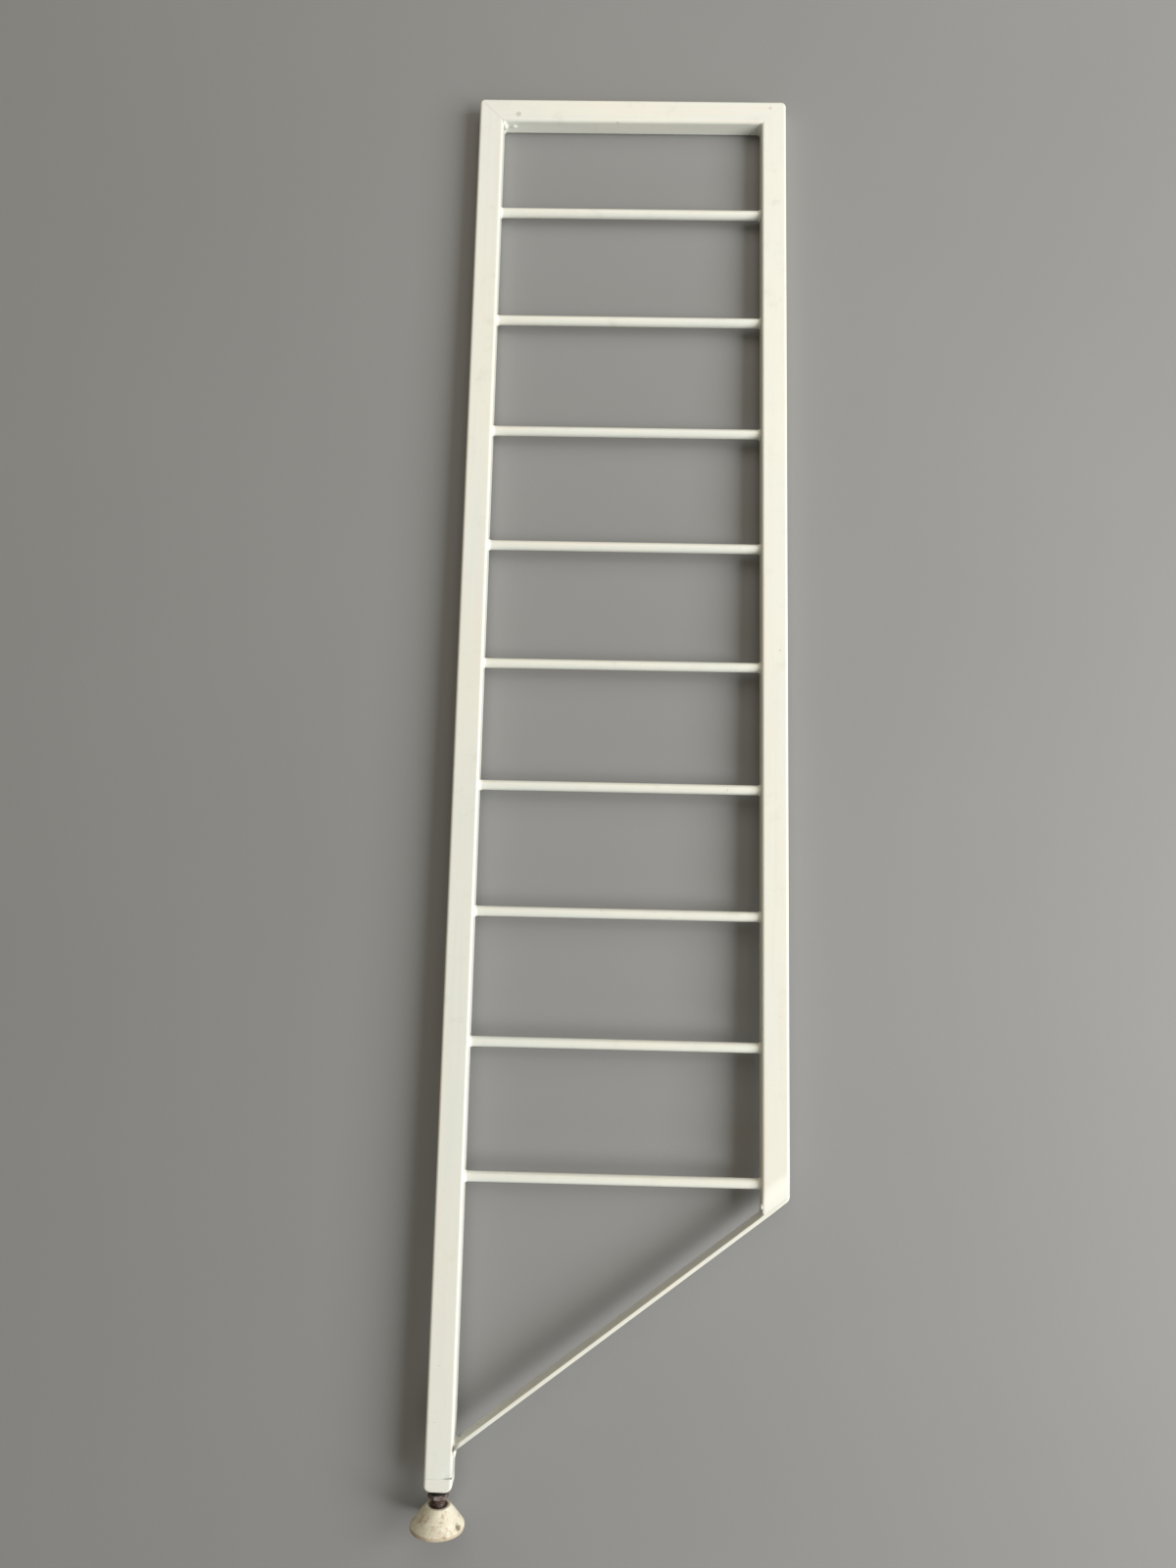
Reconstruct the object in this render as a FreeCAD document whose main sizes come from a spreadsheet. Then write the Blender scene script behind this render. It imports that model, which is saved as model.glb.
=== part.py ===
"""Ladder side frame of a shelving system, lying flat on its back, in millimetres.

X runs across the frame, from the long post to the short one; Y runs up the ladder, from the
levelling foot to the top rail; Z points up from the floor. The origin is the centre of the
bottom of the whole frame's box, so Z = 0 is the floor and the foot's rim touches it.
"""

import math
import os

import FreeCAD
import Part
import Sketcher

# ---------------------------------------------------------------- driving dimensions
DIMENSIONS = {
    "outer_width": 254.0,  # across both posts
    "tube_width": 20.0,  # rectangular tube, face seen from the front
    "tube_depth": 15.0,
    "tube_wall": 1.5,
    "tube_edge_radius": 2.0,
    "tube_inner_radius": 0.8,
    "corner_radius": 4.0,  # dressed outer corners of the mitred joints
    "rung_count": 9,
    "rung_pitch": 95.5,
    "rung_diameter": 7.5,
    "top_rise": 98.5,  # highest rung's centre to the top edge
    "short_drop": 9.5,  # lowest rung's centre down to the brace's outer corner
    "long_drop": 209.5,  # lowest rung's centre down to the long post's end
    "brace_thickness": 3.0,  # flat bar on edge, as deep as the tube
    "brace_angle": 36.5,  # degrees from the rungs' direction
    "brace_corner_radius": 6.0,
    "plug_height": 9.0,
    "plug_corner_radius": 4.0,
    "foot_gap": 10.0,  # end plug to the small end of the foot
    "foot_length": 15.0,
    "foot_radius": 19.0,
    "foot_small_radius": 8.7,
    "foot_rim": 2.5,
    "foot_mouth_radius": 6.5,
    "foot_hole_radius": 5.4,  # through the web that the bolt's head pulls on
    "foot_web": 3.0,
    "foot_pocket_radius": 11.0,
    "foot_pocket_depth": 7.0,
    "foot_edge_radius": 0.8,
    "bolt_diameter": 9.8,  # over the worn crests of its 10 mm thread
    "bolt_length": 50.0,
    "bolt_head_flats": 17.0,
    "bolt_head_height": 6.4,
    "nut_flats": 13.0,
    "nut_height": 3.0,
    "nut_turned": 13.0,  # degrees from a flat that faces the front, towards the short post
    "washer_radius": 6.7,
    "washer_hole_radius": 5.2,
    "washer_thickness": 2.0,
    "bolt_tip_chamfer": 1.0,
    "thread_clearance": 0.05,  # radial, between the bolt and its tapped holes
    "seat_clearance": 0.05,  # under the bolt's head
}

doc = FreeCAD.newDocument("ladder_frame")
sheet = doc.addObject("Spreadsheet::Sheet", "Sizes")
for row, (alias, number) in enumerate(DIMENSIONS.items(), start=1):
    sheet.set(f"A{row}", alias)
    sheet.set(f"B{row}", str(number))
    sheet.setAlias(f"B{row}", alias)
doc.recompute()


class Size:
    """A length or number that knows both its value and the expression that gives it."""

    def __init__(self, value, text):
        self.value = float(value)
        self.text = text

    @staticmethod
    def of(other):
        return other if isinstance(other, Size) else Size(other, repr(float(other)))

    def join(self, other, sign, value):
        return Size(value, f"({self.text} {sign} {other.text})")

    def __add__(self, other):
        other = Size.of(other)
        return self.join(other, "+", self.value + other.value)

    def __sub__(self, other):
        other = Size.of(other)
        return self.join(other, "-", self.value - other.value)

    def __mul__(self, other):
        other = Size.of(other)
        return self.join(other, "*", self.value * other.value)

    def __truediv__(self, other):
        other = Size.of(other)
        return self.join(other, "/", self.value / other.value)

    def __neg__(self):
        return Size(0, "0").join(self, "-", -self.value)


def size(alias):
    """The spreadsheet cell with that alias."""
    return Size(DIMENSIONS[alias], f"Sizes.{alias}")


def sine(angle):
    return Size(math.sin(math.radians(angle.value)), f"sin({angle.text})")


def cosine(angle):
    return Size(math.cos(math.radians(angle.value)), f"cos({angle.text})")


def bind(feature, name, amount):
    """Ties one property of a feature to the spreadsheet."""
    amount = Size.of(amount)
    feature.setExpression(name, amount.text)


def place(feature, x, y, z, rotation=FreeCAD.Rotation()):
    """Puts a sub-part at a point given by three sizes."""
    spot = [Size.of(x), Size.of(y), Size.of(z)]
    base = FreeCAD.Vector(*[s.value for s in spot])
    feature.Placement = FreeCAD.Placement(base, rotation)
    for letter, amount in zip("xyz", spot):
        bind(feature, f"Placement.Base.{letter}", amount)


# ---------------------------------------------------------------- sketches and features
TOUCHING = 1e-6  # two places nearer than this are the same place


def plane(body, role):
    """One of a body's own origin planes."""
    return [f for f in body.Origin.OriginFeatures if f.Role == role][0]


def arc_middle(start, end, radius, side):
    """Middle of the arc from start to end that bulges to the left (1) or right (-1)."""
    chord = end - start
    half = chord.Length / 2
    left = FreeCAD.Vector(-chord.y, chord.x, 0).normalize()
    rise = radius - math.sqrt(max(radius * radius - half * half, 0))
    return (start + end) * 0.5 + left * (side * rise)


def outline(body, name, role, corners):
    """A closed sketch. Each corner is (x, y) or (x, y, radius, side), an arc to the next one."""
    sketch = body.newObject("Sketcher::SketchObject", name)
    sketch.AttachmentSupport = (plane(body, role), [""])
    sketch.MapMode = "FlatFace"
    spots = [[Size.of(c[0]), Size.of(c[1])] for c in corners]
    points = [FreeCAD.Vector(s[0].value, s[1].value, 0) for s in spots]
    ends = []
    for i, corner in enumerate(corners):
        start, end = points[i], points[(i + 1) % len(points)]
        if len(corner) == 2:
            sketch.addGeometry(Part.LineSegment(start, end), False)
            ends.append((1, 2))
            continue
        middle = arc_middle(start, end, corner[2].value, corner[3])
        curve = Part.ArcOfCircle(start, middle, end)
        sketch.addGeometry(curve, False)
        forward = curve.StartPoint.distanceToPoint(start) < TOUCHING
        ends.append((1, 2) if forward else (2, 1))
        limit = sketch.addConstraint(Sketcher.Constraint("Radius", i, corner[2].value))
        bind(sketch, f"Constraints[{limit}]", corner[2])
    for i in range(len(corners)):
        after = (i + 1) % len(corners)
        sketch.addConstraint(
            Sketcher.Constraint("Coincident", i, ends[i][1], after, ends[after][0])
        )
        for kind, spot in zip(("DistanceX", "DistanceY"), spots[i]):
            fixed = Sketcher.Constraint(kind, -1, 1, i, ends[i][0], spot.value)
            index = sketch.addConstraint(fixed)
            bind(sketch, f"Constraints[{index}]", spot)
    return sketch


def circle(body, name, role, radius):
    """A sketch of one circle about the body's origin."""
    sketch = body.newObject("Sketcher::SketchObject", name)
    sketch.AttachmentSupport = (plane(body, role), [""])
    sketch.MapMode = "FlatFace"
    up = FreeCAD.Vector(0, 0, 1)
    sketch.addGeometry(Part.Circle(FreeCAD.Vector(0, 0, 0), up, radius.value), False)
    sketch.addConstraint(Sketcher.Constraint("Coincident", 0, 3, -1, 1))
    index = sketch.addConstraint(Sketcher.Constraint("Radius", 0, radius.value))
    bind(sketch, f"Constraints[{index}]", radius)
    return sketch


def rectangle(width, height):
    """Corners of a rectangle centred on the sketch's origin."""
    x, y = width / 2, height / 2
    return [(-x, -y), (x, -y), (x, y), (-x, y)]


def pad(body, sketch, length, both_ways=False):
    feature = body.newObject("PartDesign::Pad", f"{sketch.Name}_pad")
    feature.Profile = sketch
    feature.Midplane = both_ways
    bind(feature, "Length", length)
    doc.recompute()
    return feature


def cut_through(body, sketch, reverse=False, both_ways=False):
    """Cuts the sketch's shape away, right through the body."""
    before = body.Shape.Volume
    feature = body.newObject("PartDesign::Pocket", f"{sketch.Name}_pocket")
    feature.Profile = sketch
    feature.Type = "ThroughAll"
    feature.Reversed = reverse
    feature.Midplane = both_ways
    doc.recompute()
    if body.Shape.Volume >= before:
        raise RuntimeError(f"{feature.Name} removed nothing")


def soften(body, base, radius, chosen):
    """Rounds the edges of the base feature that the chosen test picks."""
    names = [f"Edge{i}" for i, e in enumerate(base.Shape.Edges, start=1) if chosen(e)]
    feature = body.newObject("PartDesign::Fillet", f"{base.Name}_round")
    feature.Base = (base, names)
    bind(feature, "Radius", radius)
    doc.recompute()
    return feature


def new_body(label):
    body = doc.addObject("PartDesign::Body", label)
    body.Label = label
    return body


# ---------------------------------------------------------------- where things are
tube_width = size("tube_width")
tube_depth = size("tube_depth")
foot_radius = size("foot_radius")
overhang = foot_radius - tube_width / 2
left = (overhang - size("outer_width")) / 2
right = left + size("outer_width")
ladder = size("rung_pitch") * (size("rung_count") - 1)
foot_drop = size("long_drop") + size("foot_gap") + size("foot_length")
top = (ladder + size("top_rise") + foot_drop) / 2
first_rung = top - size("top_rise") - ladder
long_end = first_rung - size("long_drop")
foot_top = long_end - size("foot_gap")
foot_end = foot_top - size("foot_length")
middle_z = foot_radius
post_axis = left + tube_width / 2
slope = sine(size("brace_angle")) / cosine(size("brace_angle"))
brace_rise = size("brace_thickness") / cosine(size("brace_angle"))
brace_corner = first_rung - size("short_drop")
clearance_room = tube_width  # how far the cutting outlines run past the tube


def beyond(body, name, corners):
    """Cuts away everything inside an outline on the tube's own XZ plane, right through."""
    cut_through(body, outline(body, name, "XZ_Plane", corners), both_ways=True)


def dress_corner(body, side, end, up):
    """Takes the sharp outer corner off one end, at 45 degrees, ready for its radius.

    side is -1 or 1, the outer side in the tube's own X; end is the end's place along the
    tube's own Z, and up is 1 at the far end and -1 at the near one."""
    cut = size("corner_radius") * (2 - math.sqrt(2))
    room = clearance_room
    x = tube_width / 2 * side
    corners = [
        (x + room * side, end - (cut + room) * up),
        (x - (cut + room) * side, end + room * up),
        (x + room * side, end + room * up),
    ]
    beyond(body, f"{body.Name}_dressing_{'far' if up > 0 else 'near'}", corners)
    spot = end.value - cut.value * up

    def on_the_corner(edge):
        return all(
            abs(v.Point.x - x.value) < TOUCHING and abs(v.Point.z - spot) < TOUCHING
            for v in edge.Vertexes
        )

    return soften(body, body.Tip, size("corner_radius"), on_the_corner)


def mitre(body, side, end, up):
    """Cuts one end at 45 degrees; side, end and up are as for dress_corner."""
    half = tube_width / 2
    room = clearance_room
    corners = [
        (half * side + room * side, end + room * up),
        (-half * side - room * side, end - (tube_width + room) * up),
        (-half * side - room * side, end + room * up),
    ]
    beyond(body, f"{body.Name}_mitre_{'far' if up > 0 else 'near'}", corners)


def tube(label, length, side, near_mitred=False):
    """A rectangular tube along the body's own Z, with rounded edges and mitred ends."""
    body = new_body(label)
    pad(body, outline(body, f"{label}_outer", "XY_Plane", rectangle(tube_width, tube_depth)), length)
    ends = [(length, 1)] + ([(Size.of(0), -1)] if near_mitred else [])
    for end, up in ends:
        dress_corner(body, side, end, up)

    def long_edge(edge):
        start, end = edge.Vertexes[0].Point, edge.Vertexes[-1].Point
        return abs(end.z - start.z) > length.value / 2

    soften(body, body.Tip, size("tube_edge_radius"), long_edge)
    wall = size("tube_wall") * 2
    bore = rectangle(tube_width - wall, tube_depth - wall)
    cut_through(body, outline(body, f"{label}_inner", "XY_Plane", bore), reverse=True)
    inside_x = (tube_width.value - wall.value) / 2
    inside_y = (tube_depth.value - wall.value) / 2

    def inner_edge(edge):
        spot = edge.Vertexes[0].Point
        sharp = abs(abs(spot.x) - inside_x) < TOUCHING and abs(abs(spot.y) - inside_y) < TOUCHING
        return sharp and long_edge(edge)

    soften(body, body.Tip, size("tube_inner_radius"), inner_edge)
    for end, up in ends:
        mitre(body, side, end, up)
    return body


# ---------------------------------------------------------------- the welded frame
UP_THE_LADDER = FreeCAD.Rotation(FreeCAD.Vector(1, 0, 0), -90)  # own Z to +Y, own Y to -Z


def make_long_post():
    seam = long_end + size("plug_height")
    body = tube("long_post", top - seam, -1)
    place(body, post_axis, seam, middle_z, UP_THE_LADDER)


def make_short_post():
    """Mitred at the top; the lower end is cut along the brace, which closes it."""
    inner_end = brace_corner + brace_rise - tube_width * slope
    body = tube("short_post", top - inner_end, 1)
    half = tube_width / 2
    room = clearance_room
    low_cut = [
        (half + room, (tube_width + room) * slope),
        (-half - room, -room * slope),
        (-half - room, -room),
        (half + room, -room),
    ]
    beyond(body, "short_post_low_cut", low_cut)
    place(body, right - half, inner_end, middle_z, UP_THE_LADDER)


def make_top_rail():
    body = tube("top_rail", size("outer_width"), -1, near_mitred=True)
    across = FreeCAD.Rotation(
        FreeCAD.Vector(0, -1, 0), FreeCAD.Vector(0, 0, -1), FreeCAD.Vector(1, 0, 0), "ZXY"
    )
    place(body, left, top - tube_width / 2, middle_z, across)


def make_rungs():
    """Round bars between the posts' inner faces, one node each, counted from the foot."""
    along_x = FreeCAD.Rotation(FreeCAD.Vector(0, 1, 0), 90)
    for index in range(int(DIMENSIONS["rung_count"])):
        rung = doc.addObject("Part::Cylinder", f"rung_{index + 1}")
        bind(rung, "Radius", size("rung_diameter") / 2)
        bind(rung, "Height", size("outer_width") - tube_width * 2)
        place(rung, left + tube_width, first_rung + size("rung_pitch") * index, middle_z, along_x)


def make_diagonal_brace():
    """Flat bar on edge, from the long post's inner face to the short post's outer face."""
    body = new_body("diagonal_brace")
    run = size("outer_width") - tube_width
    angle = size("brace_angle")
    radius = size("brace_corner_radius")
    reach = radius * ((cosine(angle)) / (sine(angle) + 1))
    corners = [
        (-run, -run * slope),
        (-reach * cosine(angle), -reach * sine(angle), radius, -1),
        (Size.of(0), reach),
        (Size.of(0), brace_rise),
        (-run, brace_rise - run * slope),
    ]
    pad(body, outline(body, "brace_side", "XY_Plane", corners), tube_depth, both_ways=True)
    place(body, right, brace_corner, middle_z)


def make_end_plug():
    """Solid end of the long post, tapped for the levelling bolt."""
    body = new_body("end_plug")
    half = tube_width / 2
    height = size("plug_height")
    radius = size("plug_corner_radius")
    corners = [
        (-half, radius, radius, -1),
        (radius - half, Size.of(0)),
        (half - radius, Size.of(0), radius, -1),
        (half, radius),
        (half, height),
        (-half, height),
    ]
    block = pad(body, outline(body, "plug_side", "XY_Plane", corners), tube_depth, both_ways=True)

    def on_a_face(edge):
        heights = [v.Point.z for v in edge.Vertexes]
        flat = abs(heights[0] - heights[-1]) < TOUCHING
        at_seam = all(abs(v.Point.y - height.value) < TOUCHING for v in edge.Vertexes)
        return flat and not at_seam

    soften(body, block, size("tube_edge_radius"), on_a_face)
    bore = size("bolt_diameter") / 2 + size("thread_clearance")
    cut_through(body, circle(body, "plug_tapping", "XZ_Plane", bore), both_ways=True)
    place(body, post_axis, long_end, middle_z)


# ---------------------------------------------------------------- the levelling foot
def revolve(body, sketch):
    """Turns a half outline right round the body's own Z axis."""
    feature = body.newObject("PartDesign::Revolution", f"{sketch.Name}_turned")
    feature.Profile = sketch
    feature.ReferenceAxis = (sketch, ["V_Axis"])
    doc.recompute()


def hexagon(flats, turned):
    """Corners of a spanner hexagon; unturned, one corner is on the sketch's own X."""
    sixth = 360 / 6
    reach = flats / 2 / cosine(Size.of(sixth / 2))
    turns = [turned + sixth * corner for corner in range(6)]
    return [(reach * cosine(turn), reach * sine(turn)) for turn in turns]


TOWARDS_FLOOR = FreeCAD.Rotation(FreeCAD.Vector(1, 0, 0), 90)  # own Z to -Y, own Y to +Z


def make_lock_washer():
    """Spring washer, squeezed flat between the end plug and the lock nut."""
    body = new_body("lock_washer")
    disc = circle(body, "washer_outline", "XY_Plane", size("washer_radius"))
    pad(body, disc, size("washer_thickness"))
    hole = circle(body, "washer_hole", "XY_Plane", size("washer_hole_radius"))
    cut_through(body, hole, both_ways=True)
    place(body, post_axis, long_end, middle_z, TOWARDS_FLOOR)


def make_lock_nut():
    """Thin nut on the bolt, tightened against the washer."""
    body = new_body("lock_nut")
    sides = outline(body, "nut_outline", "XY_Plane", hexagon(size("nut_flats"), -size("nut_turned")))
    pad(body, sides, size("nut_height"))
    bore = size("bolt_diameter") / 2 + size("thread_clearance")
    cut_through(body, circle(body, "nut_tapping", "XY_Plane", bore), both_ways=True)
    place(body, post_axis, long_end - size("washer_thickness"), middle_z, TOWARDS_FLOOR)


def make_foot_cone():
    """Moulded cone: own Z runs from its small end to the face that meets the floor.

    A web across its middle parts the open mouth in the small end from the head's pocket."""
    body = new_body("foot_cone")
    length = size("foot_length")
    floor_of_pocket = length - size("foot_pocket_depth")
    edge = size("foot_edge_radius")
    shoulder = length - size("foot_rim")
    mouth = size("foot_mouth_radius")
    hole = size("foot_hole_radius")
    web_top = floor_of_pocket - size("foot_web")
    profile = [
        (mouth, Size.of(0)),
        (size("foot_small_radius"), Size.of(0)),
        (foot_radius, shoulder),
        (foot_radius, length - edge, edge, -1),
        (foot_radius - edge, length),
        (size("foot_pocket_radius"), length),
        (size("foot_pocket_radius"), floor_of_pocket),
        (hole, floor_of_pocket),
        (hole, web_top),
        (mouth, web_top),
    ]
    revolve(body, outline(body, "cone_half", "XZ_Plane", profile))
    place(body, post_axis, foot_top, middle_z, TOWARDS_FLOOR)


def make_foot_bolt():
    """Hexagon bolt whose head sits in the cone's pocket: own Z runs from tip to head."""
    body = new_body("foot_bolt")
    radius = size("bolt_diameter") / 2
    chamfer = size("bolt_tip_chamfer")
    length = size("bolt_length")
    shank = [
        (Size.of(0), Size.of(0)),
        (radius - chamfer, Size.of(0)),
        (radius, chamfer),
        (radius, length),
        (Size.of(0), length),
    ]
    revolve(body, outline(body, "shank_half", "XZ_Plane", shank))
    corners = hexagon(size("bolt_head_flats"), Size.of(0))
    head = outline(body, "head_outline", "XY_Plane", corners)
    bind(head, "AttachmentOffset.Base.z", length)
    pad(body, head, size("bolt_head_height"))
    seat = foot_end + size("foot_pocket_depth") - size("seat_clearance")
    place(body, post_axis, seat + length, middle_z, TOWARDS_FLOOR)


make_long_post()
make_short_post()
make_top_rail()
make_rungs()
make_diagonal_brace()
make_end_plug()
make_lock_washer()
make_lock_nut()
make_foot_cone()
make_foot_bolt()

# ---------------------------------------------------------------- checks and files
doc.recompute()
for thing in doc.Objects:
    if {"Invalid", "Error"} & set(thing.State):
        raise RuntimeError(f"{thing.Name} did not compute: {thing.State}")

os.makedirs("parts", exist_ok=True)
for thing in doc.Objects:
    if thing.TypeId not in ("PartDesign::Body", "Part::Cylinder"):
        continue
    shape = thing.Shape
    if shape.isNull() or not shape.isValid() or len(shape.Solids) != 1:
        raise RuntimeError(f"{thing.Label} is not one valid solid")
    shape.exportStep(f"parts/{thing.Label}.step")
    box = shape.BoundBox
    print(
        f"{thing.Label:15s} volume {shape.Volume:10.1f}  "
        f"X {box.XMin:8.2f} {box.XMax:8.2f}  Y {box.YMin:8.2f} {box.YMax:8.2f}  "
        f"Z {box.ZMin:6.2f} {box.ZMax:6.2f}"
    )
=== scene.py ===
"""Looks of an enamelled ladder side frame that lies on its back on a floor.

Every piece here is a surface worked out as one grid of points, in metres, in the same frame: X
across the ladder, Y up it, Z up from the floor.
"""

import math

import bpy
import numpy as np
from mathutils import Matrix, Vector


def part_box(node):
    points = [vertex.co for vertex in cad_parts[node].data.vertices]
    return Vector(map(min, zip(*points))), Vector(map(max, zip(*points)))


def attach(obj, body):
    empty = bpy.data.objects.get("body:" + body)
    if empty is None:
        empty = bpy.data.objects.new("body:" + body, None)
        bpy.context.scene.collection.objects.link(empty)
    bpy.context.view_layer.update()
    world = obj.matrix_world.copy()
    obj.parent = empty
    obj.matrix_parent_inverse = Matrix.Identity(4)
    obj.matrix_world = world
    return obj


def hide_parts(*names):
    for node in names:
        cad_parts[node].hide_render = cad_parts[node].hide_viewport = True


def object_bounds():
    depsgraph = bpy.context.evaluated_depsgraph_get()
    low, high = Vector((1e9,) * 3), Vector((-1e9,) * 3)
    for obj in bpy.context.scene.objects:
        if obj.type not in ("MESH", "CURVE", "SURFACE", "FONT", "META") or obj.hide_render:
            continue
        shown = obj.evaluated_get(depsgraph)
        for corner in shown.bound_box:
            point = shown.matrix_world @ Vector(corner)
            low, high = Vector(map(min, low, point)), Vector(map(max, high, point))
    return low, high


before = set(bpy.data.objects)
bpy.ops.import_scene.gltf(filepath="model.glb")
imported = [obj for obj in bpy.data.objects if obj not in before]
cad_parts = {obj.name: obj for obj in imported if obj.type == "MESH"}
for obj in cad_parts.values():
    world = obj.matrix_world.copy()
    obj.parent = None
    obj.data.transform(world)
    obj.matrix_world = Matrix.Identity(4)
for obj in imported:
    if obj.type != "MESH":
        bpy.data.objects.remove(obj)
cad_low, cad_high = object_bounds()

MM = 0.001

# ---------------------------------------------------------------- sizes, from the frame
long_low, long_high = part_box("long_post")
short_low, short_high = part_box("short_post")
plug_low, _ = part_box("end_plug")
brace_low, brace_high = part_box("diagonal_brace")
cone_low, cone_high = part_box("foot_cone")
bolt_low, bolt_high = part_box("foot_bolt")
nut_low, nut_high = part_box("lock_nut")
washer_low, washer_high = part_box("lock_washer")
rung_low, rung_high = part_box("rung_1")

TUBE_WIDTH = long_high.x - long_low.x
TUBE_DEPTH = long_high.z - long_low.z
MIDDLE_Z = (long_low.z + long_high.z) / 2
FRONT_Z = long_high.z
LEFT = long_low.x
RIGHT = short_high.x
TOP = cad_high.y
SEAM = long_low.y
POST_END = plug_low.y
POST_AXIS = (long_low.x + long_high.x) / 2
LEFT_INSIDE = long_high.x
RIGHT_INSIDE = short_low.x
RUNG_RADIUS = (rung_high.z - rung_low.z) / 2
RUNGS = sorted(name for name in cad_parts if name.startswith("rung_"))

# ---------------------------------------------------------------- sizes of the finer shapes
WALL = 1.5 * MM
EDGE_RADIUS = 2.0 * MM  # along the tubes
BORE_EDGE_RADIUS = 0.8 * MM
CORNER_RADIUS = 4.0 * MM  # dressed outer corners of the frame
PLUG_CORNER_RADIUS = 5.2 * MM
BRACE_ANGLE = math.radians(36.5)
BRACE_THICKNESS = 3.0 * MM
BRACE_CORNER_RADIUS = 6.0 * MM
BRACE_EDGE_RADIUS = 0.7 * MM
BITE = 0.3 * MM  # how far a welded bar's end is sunk into the post beside it
TAPPING_RADIUS = 5.1 * MM
SEAM_DEPTH = 0.9 * MM
SEAM_HALF_WIDTH = 0.55 * MM
SEAM_CLIMB = 0.7 * MM  # from the outer side to the inner
WELD_HALF_SPAN = 7.2 * MM  # a weld runs through the frame's depth, just short of its faces
WELD_WEAR = 0.3
THREAD_PITCH = 1.25 * MM
THREAD_CREST = 4.9 * MM
THREAD_ROOT = 4.2 * MM
BOLT_LENGTH = 50.0 * MM
HEAD_FLATS = 17.0 * MM
NUT_FLATS = 13.0 * MM
NUT_TURNED = math.radians(13)

BRACE_SLOPE = math.tan(BRACE_ANGLE)
BRACE_RISE = BRACE_THICKNESS / math.cos(BRACE_ANGLE)
BRACE_TOP_AT_RIGHT = brace_high.y


def smooth_step(low, high, value):
    """0 below low, 1 above high, and a cubic ease between them."""
    share = np.clip((value - low) / (high - low), 0, 1)
    return share * share * (3 - 2 * share)


def ripple(seed, *ways):
    """A gentle uneven wave between -1 and 1: five sines of the given coordinates, each with
    its own seeded direction and phase."""
    draw = np.random.default_rng(seed)
    total = 0
    for _ in range(5):
        turn = sum(draw.uniform(-1, 1) * way for way in ways)
        total = total + np.sin(turn + draw.uniform(0, 2 * math.pi))
    return total / 5


# ---------------------------------------------------------------- surfaces
def grid_faces(rows, columns, ring):
    """Quads between neighbouring rows and columns. Columns always go right round; in a ring,
    the last row joins the first."""
    first_rows = np.arange(rows if ring else rows - 1)
    row, column = np.meshgrid(first_rows, np.arange(columns), indexing="ij")
    next_row = (row + 1) % rows
    next_column = (column + 1) % columns
    corners = [
        row * columns + column,
        row * columns + next_column,
        next_row * columns + next_column,
        next_row * columns + column,
    ]
    return np.stack(corners, axis=-1).reshape(-1, 4)


def fan_faces(first, columns, pole):
    """Triangles from one row's points to a single point."""
    column = np.arange(columns)
    neighbour = (column + 1) % columns
    return np.stack([first + column, first + neighbour, np.full(columns, pole)], axis=1)


def enclosed_volume(points, triangles):
    """Sum of the signed volumes of the triangles' cones from the origin."""
    a, b, c = (points[triangles[:, i]] for i in range(3))
    return np.einsum("ij,ij->i", a, np.cross(b, c)).sum() / 6


def skin(name, grid, finish, body, stands_for=(), ring=False, wear=None):
    """Makes one closed piece from a grid of points, shape (rows, columns, 3).

    A ring has its last row joined to its first; otherwise each end is closed at one point in
    the middle of its row. wear is one number per point, kept as the attribute of that name:
    0 on sheltered faces and 1 where the finish is rubbed or stained most; at the rung ends it
    also carries painted shade."""
    rows, columns = grid.shape[:2]
    points = grid.reshape(-1, 3)
    wear = np.zeros((rows, columns)) if wear is None else np.broadcast_to(wear, (rows, columns))
    wear = wear.reshape(-1)
    quads = grid_faces(rows, columns, ring)
    triangles = np.empty((0, 3), int)
    if not ring:
        last = (rows - 1) * columns
        points = np.vstack([points, grid[0].mean(axis=0), grid[-1].mean(axis=0)])
        wear = np.append(wear, [wear[0], wear[-1]])
        near = fan_faces(0, columns, rows * columns)[:, ::-1]
        far = fan_faces(last, columns, rows * columns + 1)
        triangles = np.vstack([near, far])
    halves = np.vstack([quads[:, [0, 1, 2]], quads[:, [0, 2, 3]], triangles])
    if enclosed_volume(points, halves) < 0:
        quads, triangles = quads[:, ::-1], triangles[:, ::-1]
    mesh = bpy.data.meshes.new(name)
    mesh.from_pydata(points.tolist(), [], quads.tolist() + triangles.tolist())
    mesh.polygons.foreach_set("use_smooth", np.ones(len(mesh.polygons), bool))
    kept = mesh.attributes.new("wear", "FLOAT", "POINT")
    kept.data.foreach_set("value", wear.astype(np.float32))
    mesh.materials.append(finish)
    piece = bpy.data.objects.new(name, mesh)
    bpy.context.scene.collection.objects.link(piece)
    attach(piece, body)
    if stands_for:
        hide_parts(*stands_for)
    return piece


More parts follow.
